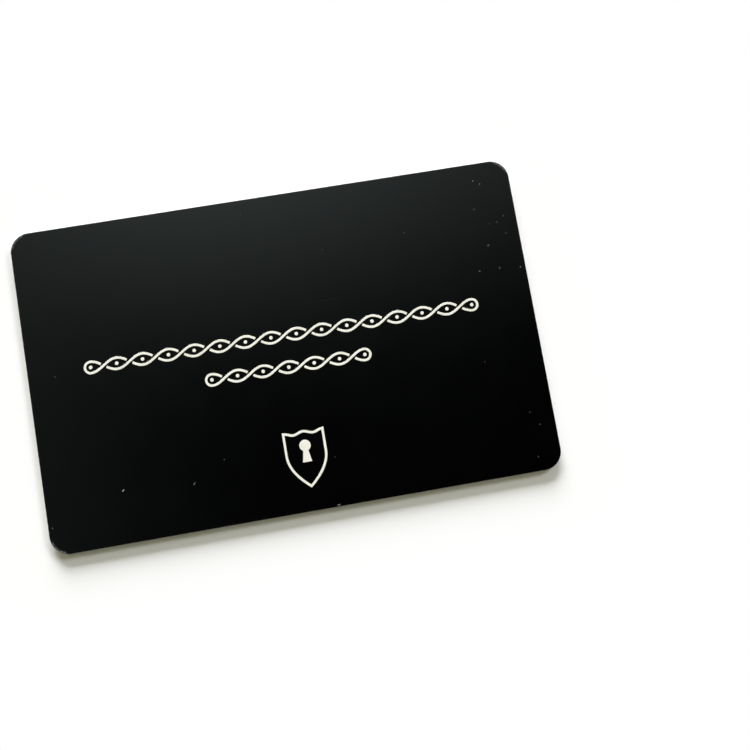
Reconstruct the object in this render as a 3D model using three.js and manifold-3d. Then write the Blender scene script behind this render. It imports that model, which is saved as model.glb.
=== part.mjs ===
// A field-blocking pocket card in the ID-1 format, the size of a bank card.
// Six plastic sheets are laminated into one flat body. An antenna of enamelled wire is embedded in
// the inlay sheet, and its two ends are welded to a chip module in a window of the core sheet.
// Millimetres. +X runs along the card's length, +Y up the printed face and +Z out of it.
// The origin is the middle of the back face.

import * as THREE from 'three';
import { mergeVertices } from 'three/addons/utils/BufferGeometryUtils.js';
import Module from 'manifold-3d';

const wasm = await Module();
wasm.setup();

// Card outline and outer sheets
const CARD_LENGTH = 85.6;
const CARD_WIDTH = 53.98;
const CARD_CORNER_RADIUS = 3.18;
const CORNER_STEPS = 6; // two facets each in a quarter circle of an outline
const OVERLAY_THICKNESS = 0.05; // clear matt film on both faces
const PRINT_SHEET_THICKNESS = 0.15; // black sheet under each film
const EDGE_ROLL = 0.04; // rounding that the punch leaves on both outer rims
const EDGE_ROLL_LIMIT = 0.9; // most of the film's thickness that the rounding may take
const EDGE_ROLL_STEPS = 3;

// Antenna wire and its grooves
const WIRE_DIAMETER = 0.12;
const WIRE_SIDES = 8;
const WIRE_TURNS = 5;
const TURN_PITCH = 0.6;
const COIL_MARGIN = 4; // from the card's edge to the outermost turn
const COIL_INNER_RADIUS = 2; // corner of the innermost turn
const BEND_STEPS = 6; // in a quarter bend of the wire
const LEAD_BEND_RADIUS = 0.8;
const LEAD_RAMP = 1.2; // run in which the crossing lead sinks into the inlay
const LEAD_CLIMB = 0.4; // run in which a lead climbs onto its terminal
const WELD_LENGTH = 3.6; // of a lead, along its terminal
const GROOVE_CLEARANCE = 0.02; // from the wire to the plastic, all round
const GROOVE_FLOOR = 0.05; // plastic left under a groove
const CONTACT_GAP = 0.005; // between metal pieces that touch

// Chip module
const MODULE_Y = 6; // above the card's middle, out of the line where a card bends most
const MODULE_SETBACK = 2.5; // from the innermost turn to the module's window
const MODULE_WIDTH = 5.1; // along the card's length
const LEAD_FRAME_THICKNESS = 0.06;
const LEAD_FRAME_GAP = 0.4; // from the paddle to each terminal
const TERMINAL_EXPOSED = 1.63; // of a terminal, clear of the mould cap
const TERMINAL_CORNER_RADIUS = 0.5;
const PADDLE_LENGTH = 3;
const PADDLE_CORNER_RADIUS = 0.3;
const DIE_SIDE = 1.2;
const DIE_THICKNESS = 0.12;
const BOND_WIRE_DIAMETER = 0.03;
const BOND_WIRE_SIDES = 6;
const BOND_WIRE_STEPS = 10;
const BOND_PAD_INSET = 0.15; // from the die's edge to a bond
const BOND_FOOT_INSET = 0.15; // from a terminal's inner edge to a bond
const BOND_LOOP_HEIGHT = 0.05; // above the die
const POCKET_CLEARANCE = 0.12; // beside the die and the bonds
const POCKET_HEADROOM = 0.02; // over the bond wires
const CAP_WALL = 0.25;
const CAP_ROOF = 0.06;
const CAP_DRAFT = 0.04; // by which the cap's top is smaller on each side
const CAP_CORNER_RADIUS = 0.4;
const WINDOW_CORNER_RADIUS = 0.6;
const WINDOW_HEADROOM = 0.02; // over the tallest piece in the window

// Finishes
const CLEAR_FILM = { color: 0x141615, roughness: 0.42, metalness: 0 };
const BLACK_SHEET = { color: 0x0c0d0d, roughness: 0.6, metalness: 0 };
const WHITE_SHEET = { color: 0xf0efea, roughness: 0.6, metalness: 0 };
const ENAMELLED_COPPER = { color: 0xb4643c, roughness: 0.35, metalness: 1 };
const SILVERED_COPPER = { color: 0xc9c8c2, roughness: 0.3, metalness: 1 };
const SILICON = { color: 0x3d414a, roughness: 0.25, metalness: 0 };
const GOLD = { color: 0xd9a441, roughness: 0.25, metalness: 1 };
const EPOXY = { color: 0x1b1b1c, roughness: 0.55, metalness: 0 };

// Heights in the stack, which follow from what each sheet has to hold
const WIRE_RADIUS = WIRE_DIAMETER / 2;
const WIRE_COVER = GROOVE_CLEARANCE / 2; // from the face between inlay and core to a wire beside it
const INLAY_THICKNESS = WIRE_COVER + WIRE_DIAMETER + GROOVE_CLEARANCE + GROOVE_FLOOR;
const POCKET_HEIGHT = DIE_THICKNESS + BOND_LOOP_HEIGHT + BOND_WIRE_DIAMETER / 2 + POCKET_HEADROOM;
const MODULE_HEIGHT = LEAD_FRAME_THICKNESS + POCKET_HEIGHT + CAP_ROOF;
const LEAD_HEIGHT = LEAD_FRAME_THICKNESS + CONTACT_GAP + WIRE_DIAMETER;
const CORE_THICKNESS = Math.max(MODULE_HEIGHT, LEAD_HEIGHT) + WINDOW_HEADROOM;
const BACK_PRINT_Z = OVERLAY_THICKNESS;
const INLAY_FACE_Z = BACK_PRINT_Z + PRINT_SHEET_THICKNESS + INLAY_THICKNESS; // inlay meets core here
const FRONT_PRINT_Z = INLAY_FACE_Z + CORE_THICKNESS;
const FRONT_OVERLAY_Z = FRONT_PRINT_Z + PRINT_SHEET_THICKNESS;

// Heights of the wire's middle, measured from the face between inlay and core
const SUNK_Z = -WIRE_COVER - WIRE_RADIUS;
const CROSSING_Z = WIRE_COVER + WIRE_RADIUS;
const WELD_Z = LEAD_HEIGHT - WIRE_RADIUS;

// Module plan, measured up and down from its middle
const TERMINAL_INNER_Y = PADDLE_LENGTH / 2 + LEAD_FRAME_GAP;
const BOND_FOOT_Y = TERMINAL_INNER_Y + BOND_FOOT_INSET;
const POCKET_LENGTH = 2 * (BOND_FOOT_Y + POCKET_CLEARANCE);
const CAP_LENGTH = POCKET_LENGTH + 2 * CAP_WALL;
const MODULE_LENGTH = CAP_LENGTH + 2 * TERMINAL_EXPOSED;
const LEAD_OFFSET_Y = (CAP_LENGTH + TERMINAL_EXPOSED) / 2;
const WINDOW_CLEARANCE = LEAD_CLIMB + 2 * WIRE_DIAMETER;

// Half the length and half the width of a turn, the outermost being number 0
const turnX = (turn) => CARD_LENGTH / 2 - COIL_MARGIN - turn * TURN_PITCH;
const turnY = (turn) => CARD_WIDTH / 2 - COIL_MARGIN - turn * TURN_PITCH;

const WINDOW_EDGE_X = MODULE_SETBACK - turnX(WIRE_TURNS);
const TERMINAL_EDGE_X = WINDOW_EDGE_X + WINDOW_CLEARANCE;
const MODULE_X = TERMINAL_EDGE_X + MODULE_WIDTH / 2;

function roundedRectangle(length, width, radius) {
  const x = length / 2 - radius;
  const y = width / 2 - radius;
  const quarter = Math.PI / 2;
  const shape = new THREE.Shape();
  shape.absarc(x, -y, radius, -quarter, 0);
  shape.absarc(x, y, radius, 0, quarter);
  shape.absarc(-x, y, radius, quarter, 2 * quarter);
  shape.absarc(-x, -y, radius, 2 * quarter, 3 * quarter);
  return shape;
}

function extrude(shape, depth) {
  return new THREE.ExtrudeGeometry(shape, { depth, bevelEnabled: false, curveSegments: CORNER_STEPS });
}

function sheet(thickness) {
  return extrude(roundedRectangle(CARD_LENGTH, CARD_WIDTH, CARD_CORNER_RADIUS), thickness);
}

// A rounded rectangle's points at one height, for a loft
function ring(length, width, radius, z) {
  const points = roundedRectangle(length, width, radius).getPoints(CORNER_STEPS);
  return points.map((point) => new THREE.Vector3(point.x, point.y, z));
}

// A closed body through rings of equally many points, listed from the bottom up
function loft(rings) {
  const count = rings[0].length;
  const top = (rings.length - 1) * count;
  const triangles = [];
  for (let base = 0; base < top; base += count) {
    for (let i = 0; i < count; i += 1) {
      const here = base + i;
      const next = base + ((i + 1) % count);
      triangles.push(here, next, next + count, here, next + count, here + count);
    }
  }
  for (const [a, b, c] of THREE.ShapeUtils.triangulateShape(rings[0], [])) {
    triangles.push(c, b, a, top + a, top + b, top + c);
  }
  const geometry = new THREE.BufferGeometry().setFromPoints(rings.flat());
  geometry.setIndex(triangles);
  return geometry;
}

// The outer film, square where it is bonded and rounded at its outer rim. It faces up or down.
function overlay(facesUp) {
  const roll = Math.min(EDGE_ROLL, EDGE_ROLL_LIMIT * OVERLAY_THICKNESS);
  const rim = (inset, height) => ring(
    CARD_LENGTH - 2 * inset,
    CARD_WIDTH - 2 * inset,
    CARD_CORNER_RADIUS - inset,
    facesUp ? height : OVERLAY_THICKNESS - height,
  );
  const rings = [rim(0, 0)];
  for (let step = 0; step <= EDGE_ROLL_STEPS; step += 1) {
    const angle = (step / EDGE_ROLL_STEPS) * (Math.PI / 2);
    rings.push(rim(roll * (1 - Math.cos(angle)), OVERLAY_THICKNESS - roll * (1 - Math.sin(angle))));
  }
  return loft(facesUp ? rings : rings.reverse());
}

// A wire's centre line, stepped only at the points where it bends
class WirePath extends THREE.Curve {
  constructor(points) {
    super();
    this.points = points;
  }

  getPoint(t, target = new THREE.Vector3()) {
    const place = t * (this.points.length - 1);
    const run = Math.min(Math.floor(place), this.points.length - 2);
    return target.lerpVectors(this.points[run], this.points[run + 1], place - run);
  }

  getPointAt(u, target) {
    return this.getPoint(u, target);
  }

  getTangentAt(u, target = new THREE.Vector3()) {
    const last = this.points.length - 1;
    const near = Math.round(u * last);
    const before = Math.max(near - 1, 0);
    const after = Math.min(near + 1, last);
    const arriving = this.points[near].clone().sub(this.points[before]).normalize();
    const leaving = this.points[after].clone().sub(this.points[near]).normalize();
    return target.addVectors(arriving, leaving).normalize();
  }
}

function sweep(section, path, steps) {
  return new THREE.ExtrudeGeometry(section, { steps, extrudePath: path });
}

function sweepAlong(section, points) {
  return sweep(section, new WirePath(points), points.length - 1);
}

function polygon(sides, radius) {
  const points = [];
  for (let side = 0; side < sides; side += 1) {
    const angle = ((side + 0.5) / sides) * 2 * Math.PI;
    points.push(new THREE.Vector2(radius * Math.cos(angle), radius * Math.sin(angle)));
  }
  return new THREE.Shape(points);
}

function square(side) {
  return polygon(4, side / Math.SQRT2);
}

// A corner of a wire's route. A bend rounds it; without one the route passes straight through the point.
const corner = (x, y, z, bend = 0) => ({ at: new THREE.Vector3(x, y, z), bend });

// Points along a route whose bends are all right angles
function bentRoute(corners) {
  return corners.flatMap(({ at, bend }, i) => {
    if (bend === 0) {
      return [at];
    }
    const arriving = at.clone().sub(corners[i - 1].at).normalize();
    const leaving = corners[i + 1].at.clone().sub(at).normalize();
    const points = [];
    for (let step = 0; step <= BEND_STEPS; step += 1) {
      const angle = (step / BEND_STEPS) * (Math.PI / 2);
      const point = at.clone().addScaledVector(arriving, bend * (Math.sin(angle) - 1));
      points.push(point.addScaledVector(leaving, bend * (1 - Math.cos(angle))));
    }
    return points;
  });
}

// From the lower terminal over the turns to the outermost one, and down to its depth
function crossingLead() {
  const y = MODULE_Y - LEAD_OFFSET_Y;
  const rampY = y - LEAD_BEND_RADIUS - WIRE_DIAMETER;
  return [
    corner(TERMINAL_EDGE_X + WELD_LENGTH, y, WELD_Z),
    corner(TERMINAL_EDGE_X - WIRE_DIAMETER, y, WELD_Z),
    corner(WINDOW_EDGE_X + WIRE_DIAMETER, y, CROSSING_Z),
    corner(-turnX(0), y, CROSSING_Z, LEAD_BEND_RADIUS),
    corner(-turnX(0), rampY, CROSSING_Z),
    corner(-turnX(0), rampY - LEAD_RAMP, SUNK_Z),
  ];
}

// Round the card from the outermost turn inwards. The top left corner steps to the next turn.
function turns() {
  const corners = [];
  for (let turn = 0; turn < WIRE_TURNS; turn += 1) {
    const bend = COIL_INNER_RADIUS + (WIRE_TURNS - 1 - turn) * TURN_PITCH;
    corners.push(
      corner(-turnX(turn), -turnY(turn), SUNK_Z, bend),
      corner(turnX(turn), -turnY(turn), SUNK_Z, bend),
      corner(turnX(turn), turnY(turn), SUNK_Z, bend),
      corner(-turnX(turn + 1), turnY(turn), SUNK_Z, bend),
    );
  }
  return corners;
}

// From the innermost turn to the upper terminal
function innerLead() {
  const y = MODULE_Y + LEAD_OFFSET_Y;
  return [
    corner(-turnX(WIRE_TURNS), y, SUNK_Z, LEAD_BEND_RADIUS),
    corner(WINDOW_EDGE_X + WIRE_DIAMETER, y, SUNK_Z),
    corner(TERMINAL_EDGE_X - WIRE_DIAMETER, y, WELD_Z),
    corner(TERMINAL_EDGE_X + WELD_LENGTH, y, WELD_Z),
  ];
}

function antenna() {
  return sweepAlong(
    polygon(WIRE_SIDES, WIRE_RADIUS),
    bentRoute([...crossingLead(), ...turns(), ...innerLead()]),
  );
}

function toSolid(geometry) {
  const bare = geometry.clone();
  bare.deleteAttribute('normal');
  bare.deleteAttribute('uv');
  const merged = mergeVertices(bare);
  return new wasm.Manifold(new wasm.Mesh({
    numProp: 3,
    vertProperties: Float32Array.from(merged.attributes.position.array),
    triVerts: Uint32Array.from(merged.index.array),
  }));
}

function cut(geometry, tool) {
  const { vertProperties, triVerts } = toSolid(geometry).subtract(toSolid(tool)).getMesh();
  const result = new THREE.BufferGeometry();
  result.setAttribute('position', new THREE.BufferAttribute(vertProperties, 3));
  result.setIndex(new THREE.BufferAttribute(triVerts, 1));
  return result;
}

const GROOVE_SECTION = square(WIRE_DIAMETER + 2 * GROOVE_CLEARANCE);

// The white sheet under the face, with the groove that the turns and the inner lead lie in
function inlaySheet() {
  const ramp = crossingLead().slice(-2);
  const groove = sweepAlong(GROOVE_SECTION, bentRoute([...ramp, ...turns(), ...innerLead()]));
  return cut(sheet(INLAY_THICKNESS).translate(0, 0, -INLAY_THICKNESS), groove);
}

// The white sheet over the face, with the module's window and the groove of the crossing lead
function coreSheet() {
  const outline = roundedRectangle(CARD_LENGTH, CARD_WIDTH, CARD_CORNER_RADIUS);
  const window = roundedRectangle(
    MODULE_WIDTH + 2 * WINDOW_CLEARANCE,
    MODULE_LENGTH + 2 * WINDOW_CLEARANCE,
    WINDOW_CORNER_RADIUS,
  );
  const rim = window.getPoints(CORNER_STEPS).map((point) => point.add({ x: MODULE_X, y: MODULE_Y }));
  outline.holes.push(new THREE.Path(rim));
  return cut(extrude(outline, CORE_THICKNESS), sweepAlong(GROOVE_SECTION, bentRoute(crossingLead())));
}

// A lead-frame plate from the paddle's gap to the module's end, rounded where it sticks out
function terminal() {
  const side = MODULE_WIDTH / 2;
  const end = MODULE_LENGTH / 2;
  const radius = TERMINAL_CORNER_RADIUS;
  const shape = new THREE.Shape();
  shape.moveTo(-side, TERMINAL_INNER_Y);
  shape.lineTo(side, TERMINAL_INNER_Y);
  shape.absarc(side - radius, end - radius, radius, 0, Math.PI / 2);
  shape.absarc(radius - side, end - radius, radius, Math.PI / 2, Math.PI);
  return extrude(shape, LEAD_FRAME_THICKNESS);
}

function diePaddle() {
  return extrude(roundedRectangle(MODULE_WIDTH, PADDLE_LENGTH, PADDLE_CORNER_RADIUS), LEAD_FRAME_THICKNESS);
}

// From the die's top, up over its edge and down to a terminal
function bondWire() {
  const lift = BOND_WIRE_DIAMETER / 2 + CONTACT_GAP;
  const dieTop = LEAD_FRAME_THICKNESS + DIE_THICKNESS;
  const pad = new THREE.Vector3(0, DIE_SIDE / 2 - BOND_PAD_INSET, dieTop + lift);
  const bow = new THREE.Vector3(0, DIE_SIDE / 2 + BOND_PAD_INSET, dieTop + 2 * BOND_LOOP_HEIGHT);
  const foot = new THREE.Vector3(0, BOND_FOOT_Y, LEAD_FRAME_THICKNESS + lift);
  const path = new THREE.QuadraticBezierCurve3(pad, bow, foot);
  return sweep(polygon(BOND_WIRE_SIDES, BOND_WIRE_DIAMETER / 2), path, BOND_WIRE_STEPS);
}

// The epoxy cap, drafted towards its top, with a pocket for the die and the bond wires
function mouldCap() {
  const height = POCKET_HEIGHT + CAP_ROOF;
  const body = loft([
    ring(MODULE_WIDTH, CAP_LENGTH, CAP_CORNER_RADIUS, 0),
    ring(MODULE_WIDTH - 2 * CAP_DRAFT, CAP_LENGTH - 2 * CAP_DRAFT, CAP_CORNER_RADIUS, height),
  ]);
  const pocket = new THREE.BoxGeometry(DIE_SIDE + 2 * POCKET_CLEARANCE, POCKET_LENGTH, 2 * POCKET_HEIGHT);
  return cut(body, pocket);
}

function piece(name, geometry, finish, z = 0) {
  const mesh = new THREE.Mesh(geometry, new THREE.MeshStandardMaterial(finish));
  mesh.name = name;
  mesh.position.z = z;
  return mesh;
}

// A copy turned half round in the card's plane
function turned(mesh) {
  mesh.rotation.z = Math.PI;
  return mesh;
}

// The module stands on the inlay's upper face
const module = new THREE.Group();
module.position.set(MODULE_X, MODULE_Y, 0);
module.add(
  piece('upper_terminal', terminal(), SILVERED_COPPER),
  turned(piece('lower_terminal', terminal(), SILVERED_COPPER)),
  piece('die_paddle', diePaddle(), SILVERED_COPPER),
  piece('jammer_chip', extrude(square(DIE_SIDE), DIE_THICKNESS), SILICON, LEAD_FRAME_THICKNESS),
  piece('upper_bond_wire', bondWire(), GOLD),
  turned(piece('lower_bond_wire', bondWire(), GOLD)),
  piece('mould_cap', mouldCap(), EPOXY, LEAD_FRAME_THICKNESS),
);

// Inlay and core with what lies between them
const circuit = new THREE.Group();
circuit.position.z = INLAY_FACE_Z;
circuit.add(
  piece('inlay_sheet', inlaySheet(), WHITE_SHEET),
  piece('antenna_coil', antenna(), ENAMELLED_COPPER),
  piece('core_sheet', coreSheet(), WHITE_SHEET),
  module,
);

const card = new THREE.Group();
card.add(
  piece('back_overlay', overlay(false), CLEAR_FILM),
  piece('back_print_sheet', sheet(PRINT_SHEET_THICKNESS), BLACK_SHEET, BACK_PRINT_Z),
  circuit,
  piece('front_print_sheet', sheet(PRINT_SHEET_THICKNESS), BLACK_SHEET, FRONT_PRINT_Z),
  piece('front_overlay', overlay(true), CLEAR_FILM, FRONT_OVERLAY_Z),
);

export default card;
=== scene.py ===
"""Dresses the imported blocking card: satin films, punched laminate edge, inlay circuit and cream print.

Lengths are in metres, in the part's own frame, and in millimetres inside a finish. The card lies on its back
with its long side along X.
"""

import logging
import math
from collections.abc import Sequence
from dataclasses import asdict, dataclass, field, fields
from enum import Enum
from itertools import groupby
from typing import Any, NamedTuple

import bmesh
import bpy
from mathutils import Matrix, Vector, noise


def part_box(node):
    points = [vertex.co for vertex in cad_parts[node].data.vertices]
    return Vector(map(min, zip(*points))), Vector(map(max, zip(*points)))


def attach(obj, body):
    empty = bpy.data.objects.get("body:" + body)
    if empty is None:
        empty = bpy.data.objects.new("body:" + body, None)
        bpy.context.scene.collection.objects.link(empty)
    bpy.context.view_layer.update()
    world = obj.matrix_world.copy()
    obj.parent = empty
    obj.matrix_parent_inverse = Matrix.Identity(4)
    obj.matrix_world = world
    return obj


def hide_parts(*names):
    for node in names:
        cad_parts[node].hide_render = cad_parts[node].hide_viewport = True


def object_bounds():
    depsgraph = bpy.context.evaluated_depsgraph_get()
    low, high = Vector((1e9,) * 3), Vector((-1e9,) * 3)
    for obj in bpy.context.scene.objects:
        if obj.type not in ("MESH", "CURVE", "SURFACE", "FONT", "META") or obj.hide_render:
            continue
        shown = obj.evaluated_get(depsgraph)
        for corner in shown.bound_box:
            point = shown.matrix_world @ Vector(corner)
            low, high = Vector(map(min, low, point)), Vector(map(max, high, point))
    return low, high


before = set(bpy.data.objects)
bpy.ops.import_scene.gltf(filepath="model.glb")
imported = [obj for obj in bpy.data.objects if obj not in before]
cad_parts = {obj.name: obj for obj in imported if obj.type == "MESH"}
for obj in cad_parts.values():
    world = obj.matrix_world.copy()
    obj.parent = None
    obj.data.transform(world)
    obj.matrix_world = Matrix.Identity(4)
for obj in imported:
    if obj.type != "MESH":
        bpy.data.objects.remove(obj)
CAD_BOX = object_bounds()

LOG = logging.getLogger("card")
BODY = "root"
MM = 0.001

Colour = tuple[float, float, float]
Socket = bpy.types.NodeSocket
Sockets = bpy.types.bpy_prop_collection
WHITE: Colour = (1.0, 1.0, 1.0)


class Face(Enum):
    """The two outer faces of the card, by the way that they look along Z."""

    FRONT = 1
    BACK = -1

    @property
    def side(self) -> str:
        """Gives the face's name as it stands in the names of pieces."""
        return self.name.lower()


class GrainPart(Enum):
    """The outputs of the grain effect."""

    HEIGHT = "height"
    PATCHES = "patches"


class Ray(Enum):
    """The kinds of ray that the floor and the surround tell apart, as Light Path names them."""

    CAMERA = "Is Camera Ray"
    GLOSSY = "Is Glossy Ray"
    TRANSMISSION = "Is Transmission Ray"


class Axis(Enum):
    """The parts of a point or a direction."""

    ACROSS = 0
    BACK = 1
    RISE = 2


class Ramp(NamedTuple):
    """A smooth ramp from one result to another between two levels."""

    low: float
    high: float
    start: float = 0.0
    end: float = 1.0


def rgba(colour: Colour) -> tuple[float, float, float, float]:
    """Gives a colour its alpha of one."""
    return (*colour, 1.0)


class NodeBench:
    """Adds, sets and links the nodes of one node tree."""

    def __init__(self, tree: bpy.types.NodeTree) -> None:
        """Keeps the tree that the nodes go into."""
        self.tree = tree

    @classmethod
    def cleared(cls, owner: bpy.types.ID) -> "NodeBench":
        """Empties the node tree of a material or a world.

        Args:
            owner: The material or the world.

        Returns:
            A bench for the tree.
        """
        owner.use_nodes = True
        owner.node_tree.nodes.clear()
        return cls(owner.node_tree)

    def feed(self, socket: Socket, value: Any) -> None:
        """Links a socket to another one, or sets it to a plain value.

        Args:
            socket: The input to fill.
            value: An output socket, or the value itself.
        """
        if isinstance(value, Socket):
            self.tree.links.new(value, socket)
        else:
            socket.default_value = value

    def add(self, kind: str, inputs: dict[Any, Any] | None = None, **settings: Any) -> Sockets:
        """Adds a node.

        Args:
            kind: Blender's name for the node type.
            inputs: What goes into its inputs, by name or index.
            **settings: Its own properties.

        Returns:
            The new node's outputs.
        """
        node = self.tree.nodes.new(kind)
        for name, value in settings.items():
            setattr(node, name, value)
        for key, value in (inputs or {}).items():
            self.feed(node.inputs[key], value)
        return node.outputs

    def math(self, operation: str, *values: Any) -> Socket:
        """Adds one sum on numbers and gives its result."""
        return self.add("ShaderNodeMath", dict(enumerate(values)), operation=operation)[0]

    def vector(self, operation: str, *values: Any) -> Socket:
        """Adds one sum on vectors and gives its vector result."""
        return self.add("ShaderNodeVectorMath", dict(enumerate(values)), operation=operation)[0]

    def length(self, vector: Socket) -> Socket:
        """Gives the length of a vector."""
        return self.add("ShaderNodeVectorMath", {0: vector}, operation="LENGTH")["Value"]

    def joined(self, *parts: Any) -> Socket:
        """Joins numbers into a vector."""
        return self.add("ShaderNodeCombineXYZ", dict(enumerate(parts)))[0]

    def parted(self, vector: Socket) -> Sockets:
        """Gives the X, Y and Z of a vector."""
        return self.add("ShaderNodeSeparateXYZ", {0: vector})

    def noise(self, place: Socket, scale: Any, detail: float) -> Socket:
        """Adds a noise texture and gives its value."""
        return self.add("ShaderNodeTexNoise", {"Vector": place, "Scale": scale, "Detail": detail})[0]

    def ramp(self, value: Any, low: Any, high: Any, start: Any = 0.0, end: Any = 1.0) -> Socket:
        """Maps a value smoothly from one range to another.

        Args:
            value: The value to map.
            low: Where the ramp starts.
            high: Where the ramp ends.
            start: The result at low.
            end: The result at high.

        Returns:
            The mapped value.
        """
        inputs = {"Value": value, "From Min": low, "From Max": high, "To Min": start, "To Max": end}
        return self.add("ShaderNodeMapRange", inputs, interpolation_type="SMOOTHSTEP")["Result"]

    def tint(self, share: Any, under: Any, over: Any) -> Socket:
        """Mixes two colours and gives the result."""
        return self.add("ShaderNodeMix", {0: share, 6: under, 7: over}, data_type="RGBA")[2]

    def blend(self, share: Any, under: Socket, over: Socket) -> Socket:
        """Mixes two shaders and gives the result."""
        return self.add("ShaderNodeMixShader", {0: share, 1: under, 2: over})[0]

    def on_rays(self, *rays: Ray) -> Socket:
        """Gives one on the named kinds of ray, and zero on all others.

        Args:
            *rays: The kinds.

        Returns:
            The mask.
        """
        path = self.add("ShaderNodeLightPath")
        mask = path[rays[0].value]
        for ray in rays[1:]:
            mask = self.math("MAXIMUM", mask, path[ray.value])
        return mask

    def place_mm(self) -> Socket:
        """Gives the point on the surface in the part's frame, in millimetres."""
        return self.vector("MULTIPLY", self.add("ShaderNodeTexCoord")["Object"], (1.0 / MM,) * 3)


@dataclass(frozen=True)
class Effect:
    """A shader node group that several finishes share, built once.

    The fields of each effect are the group's number inputs, which each use sets to its own values. The other
    values are the same in every use.
    """

    label = ""
    outputs = ("mask",)

    def tree(self) -> bpy.types.NodeTree:
        """Builds the group the first time, and finds it after that.

        Returns:
            The group's node tree.
        """
        found = bpy.data.node_groups.get(self.label)
        if found:
            return found
        tree = bpy.data.node_groups.new(self.label, "ShaderNodeTree")
        tree.interface.new_socket(name="place", in_out="INPUT", socket_type="NodeSocketVector")
        for way, names in (("INPUT", [value.name for value in fields(self)]), ("OUTPUT", self.outputs)):
            for name in names:
                tree.interface.new_socket(name=name, in_out=way, socket_type="NodeSocketFloat")
        bench = NodeBench(tree)
        results = self.wire(bench, bench.add("NodeGroupInput"))
        bench.add("NodeGroupOutput", dict(zip(self.outputs, results)))
        return tree

    def wire(self, bench: NodeBench, entry: Sockets) -> tuple[Socket, ...]:
        """Lays the group's nodes.

        Args:
            bench: The bench of the group's tree.
            entry: The group's inputs.

        Returns:
            One socket for each output, in order.
        """
        raise NotImplementedError

    def put(self, bench: NodeBench, place: Socket) -> Sockets:
        """Places the group in a material, for a point in millimetres, and gives its outputs."""
        return bench.add("ShaderNodeGroup", {"place": place, **asdict(self)}, node_tree=self.tree())


@dataclass(frozen=True)
class Grain(Effect):
    """Fine matt grain, and slow patches of tone under it."""

    label = "matt_grain"
    outputs = (GrainPart.HEIGHT.value, GrainPart.PATCHES.value)
    details = (3.0, 2.0)
    grains_per_mm: float
    patches_per_mm: float

    def wire(self, bench: NodeBench, entry: Sockets) -> tuple[Socket, ...]:
        """Lays one noise for the grain and one for the patches."""
        scales = (entry["grains_per_mm"], entry["patches_per_mm"])
        return tuple(bench.noise(entry["place"], *pair) for pair in zip(scales, self.details))


@dataclass(frozen=True)
class Dust(Effect):
    """Sparse specks of dust, each in its own cell.

    Attributes:
        cells_per_mm: How close the specks can lie.
        share: The share of cells that hold a speck.
        speck: How far a speck reaches, in cells.
        strength: How much of a speck shows, up to one.
    """

    label = "fine_dust"
    wobbles_per_mm = 6.0
    ragged = 0.5
    core_share = 0.35
    cells_per_mm: float
    share: float
    speck: float
    strength: float

    def wire(self, bench: NodeBench, entry: Sockets) -> tuple[Socket, ...]:
        """Lays cells, picks a share of them and draws a ragged speck in each.

        Args:
            bench: The bench of the group's tree.
            entry: The group's inputs.

        Returns:
            The mask of the specks.
        """
        wobble = bench.add("ShaderNodeTexNoise", {"Vector": entry["place"], "Scale": self.wobbles_per_mm})
        shift = bench.vector("MULTIPLY", wobble["Color"], (self.ragged,) * 3)
        place = bench.vector("ADD", entry["place"], shift)
        cells = bench.add("ShaderNodeTexVoronoi", {"Vector": place, "Scale": entry["cells_per_mm"]})
        draw = bench.add("ShaderNodeSeparateColor", {0: cells["Color"]})[0]
        chosen = bench.math("LESS_THAN", draw, entry["share"])
        core = bench.math("MULTIPLY", entry["speck"], self.core_share)
        speck = bench.ramp(cells["Distance"], core, entry["speck"], 1.0, 0.0)
        return (bench.math("MULTIPLY", bench.math("MULTIPLY", chosen, speck), entry["strength"]),)


@dataclass(frozen=True)
class RimWearAndHighlight(Effect):
    """Where the rim is worn, with a painted highlight on its rolled edge: in patches, most at the corners.

    The corner at +X -Y gets neither, and stays dark as painted shade.

    Attributes:
        half_length: Half the card's size along X, in millimetres.
        half_width: Half its size along Y.
        corner_radius: The radius of its corners.
        reach: How far in from the outline the wear and the painted highlight reach.
    """

    label = "rim_wear_and_highlight"
    patches_per_mm = 3.1
    detail = 4.0
    # The patches are partly real wear and partly a painted highlight of the rolled rim, stronger at the
    # corners.
    worn_and_highlit = Ramp(0.60, 0.90)
    corner_extra = 0.27
    spared_in_shade = Ramp(35.0, 60.0, 1.0, 0.0)
    half_length: float
    half_width: float
    corner_radius: float
    reach: float = 0.52

    def wire(self, bench: NodeBench, entry: Sockets) -> tuple[Socket, ...]:
        """Works out how far in from the rounded rectangle a point lies, and breaks the rim up with noise.

        Args:
            bench: The bench of the group's tree.
            entry: The group's inputs.

        Returns:
            The mask of the rubbed rim.
        """
        x, y, _ = bench.parted(entry["place"])
        past = []
        for coordinate, half in ((x, "half_length"), (y, "half_width")):
            straight = bench.math("SUBTRACT", entry[half], entry["corner_radius"])
            past.append(bench.math("SUBTRACT", bench.math("ABSOLUTE", coordinate), straight))
        squares = [bench.math("POWER", bench.math("MAXIMUM", value, 0.0), 2.0) for value in past]
        corner = bench.math("SQRT", bench.math("ADD", *squares))
        side = bench.math("MINIMUM", bench.math("MAXIMUM", *past), 0.0)
        inset = bench.math("SUBTRACT", entry["corner_radius"], bench.math("ADD", corner, side))
        near = bench.ramp(inset, 0.0, entry["reach"], 1.0, 0.0)
        at_corner = bench.math("MULTIPLY", bench.math("MINIMUM", *squares), self.corner_extra)
        cloud = bench.noise(entry["place"], self.patches_per_mm, self.detail)
        cloud = bench.math("ADD", cloud, bench.math("MINIMUM", at_corner, self.corner_extra))
        patches = bench.math("MULTIPLY", near, bench.ramp(cloud, *self.worn_and_highlit))
        # The ramp on x - y keeps the corner at +X -Y dark, as painted shade.
        return (bench.math("MULTIPLY", patches, bench.ramp(bench.math("SUBTRACT", x, y), *self.spared_in_shade)),)


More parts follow.
